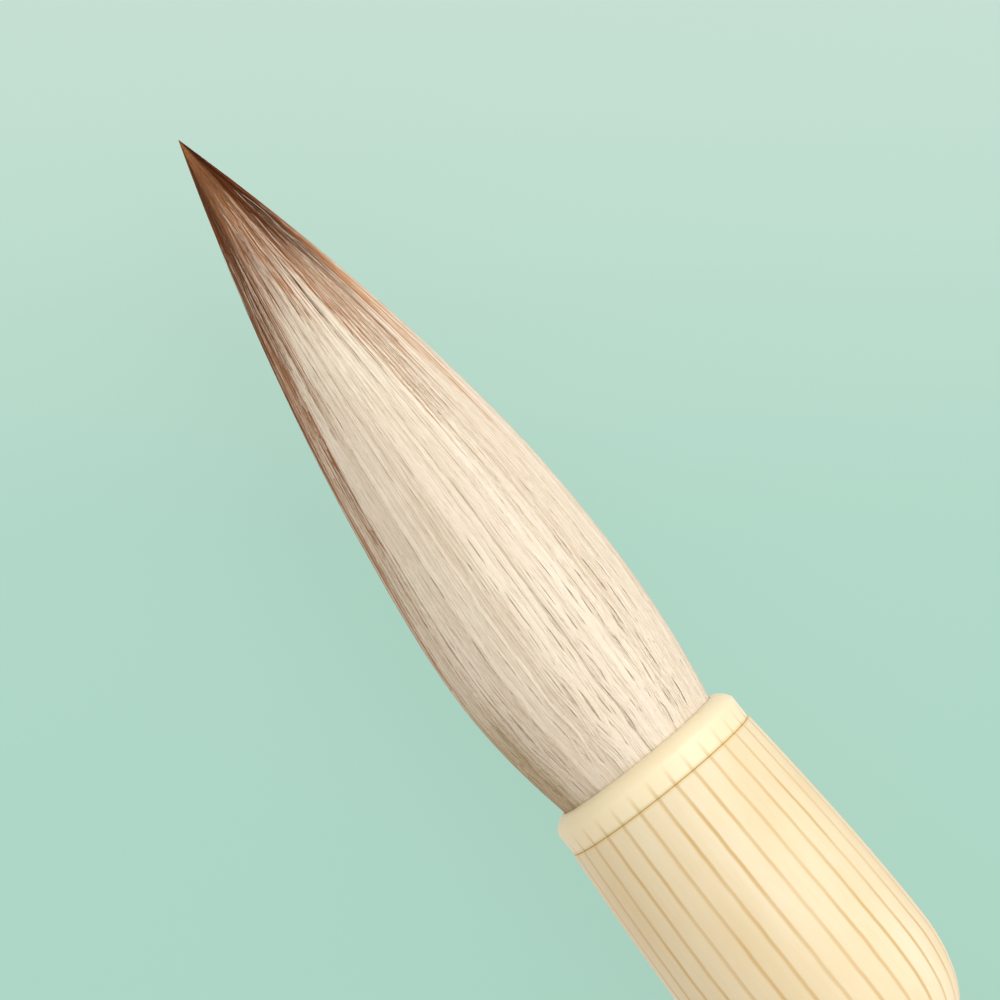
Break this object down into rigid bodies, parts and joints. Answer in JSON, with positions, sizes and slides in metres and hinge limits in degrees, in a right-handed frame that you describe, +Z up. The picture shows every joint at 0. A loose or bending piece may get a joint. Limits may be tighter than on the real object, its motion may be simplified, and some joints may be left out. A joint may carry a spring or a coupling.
{
  "type": "calligraphy brush",
  "caption": "Writing brush with a pointed tuft, pale hair over a brown core, set in a ribbed ivory-coloured cup on a bamboo handle; the tuft springs sideways.",
  "frame": {"origin": "on the surface the brush lies on, under the middle of its overall box", "axes": "+X towards the knob at the end of the handle, -X towards the point of the tuft, +Z up; the axis of the brush slopes 1.6 degrees, because the swell of the cup and the end of the handle both touch the surface"},
  "size_m": [0.2583, 0.0192, 0.0192],
  "materials": {
    "cup_resin": "polished imitation ivory with fine tan lines",
    "pale_hair": "combed animal hair, soft sheen",
    "filling_hair": "combed animal hair",
    "brown_hair": "combed animal hair, soft sheen",
    "thread": "waxed silk thread",
    "rosin": "melted resin",
    "glue": "set glue",
    "dowel_wood": "plain turned wood",
    "bamboo": "natural bamboo skin, satin"
  },
  "bodies": {
    "handle": {"mouth_ring": "cup_resin", "socket_cup": "cup_resin", "mantle_root": "pale_hair", "lining_root": "filling_hair", "core_root": "brown_hair", "core_binding_thread": "thread", "outer_binding_thread": "thread", "rosin_seal": "rosin", "glue_bed": "glue", "joint_dowel": "dowel_wood", "handle_culm": "bamboo", "end_knob": "cup_resin"},
    "tuft": {"mantle_hair": "pale_hair", "lining_hair": "filling_hair", "core_hair": "brown_hair"}
  },
  "joints": [
    {"name": "tuft_bend", "type": "hinge", "parent": "handle", "child": "tuft", "pos_m": [-0.07817, 0, 0.01041], "axis": [0, 0, 1], "range_deg": [-40, 40], "stiffness_Nm_per_rad": 0.005}
  ]
}
